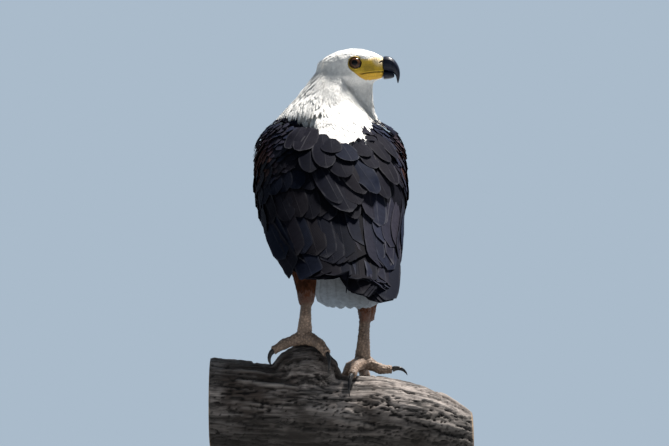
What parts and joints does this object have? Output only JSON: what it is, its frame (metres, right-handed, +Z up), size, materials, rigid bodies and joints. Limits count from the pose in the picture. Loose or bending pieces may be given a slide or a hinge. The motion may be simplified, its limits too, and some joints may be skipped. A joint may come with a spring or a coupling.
{
  "type": "african fish eagle",
  "caption": "Life-size still model of an African fish eagle perched on a short cut log, back turned, head in profile over its right shoulder, on a flat display stand",
  "frame": {"origin": "the centre of the underside of the stand's base board", "axes": "+Z is up; the log runs along X; the bird has its back to -Y and looks along +X"},
  "size_m": [0.39, 0.3696, 0.7295],
  "materials": {
    "white_plumage": "soft white feathers",
    "dark_plumage": "blackish slate feathers with a faint sheen",
    "chestnut_plumage": "soft dark chestnut feathers",
    "leg_skin": "pale yellow-buff scaly skin",
    "horn": "blue-black polished horn",
    "eye": "wet dark brown eye",
    "wood": "weathered grey-brown wood without bark",
    "stand_board": "dark satin lacquer",
    "stand_steel": "brushed steel rod"
  },
  "bodies": {
    "root": {"head": "white_plumage", "neck": "white_plumage", "trunk": "chestnut_plumage", "wing_left": "dark_plumage", "wing_right": "dark_plumage", "wing_left_tip": "dark_plumage", "wing_right_tip": "dark_plumage", "tail": "white_plumage", "thigh_left": "chestnut_plumage", "thigh_right": "chestnut_plumage", "shank_left": "leg_skin", "shank_right": "leg_skin", "foot_left": "leg_skin", "foot_right": "leg_skin", "claw_left_outer": "horn", "claw_left_middle": "horn", "claw_left_inner": "horn", "claw_left_hind": "horn", "claw_right_outer": "horn", "claw_right_middle": "horn", "claw_right_inner": "horn", "claw_right_hind": "horn", "bill_upper": "horn", "bill_lower": "horn", "eye_left": "eye", "eye_right": "eye", "perch": "wood", "stand_base": "stand_board", "stand_rod_left": "stand_steel", "stand_rod_right": "stand_steel"}
  },
  "joints": []
}
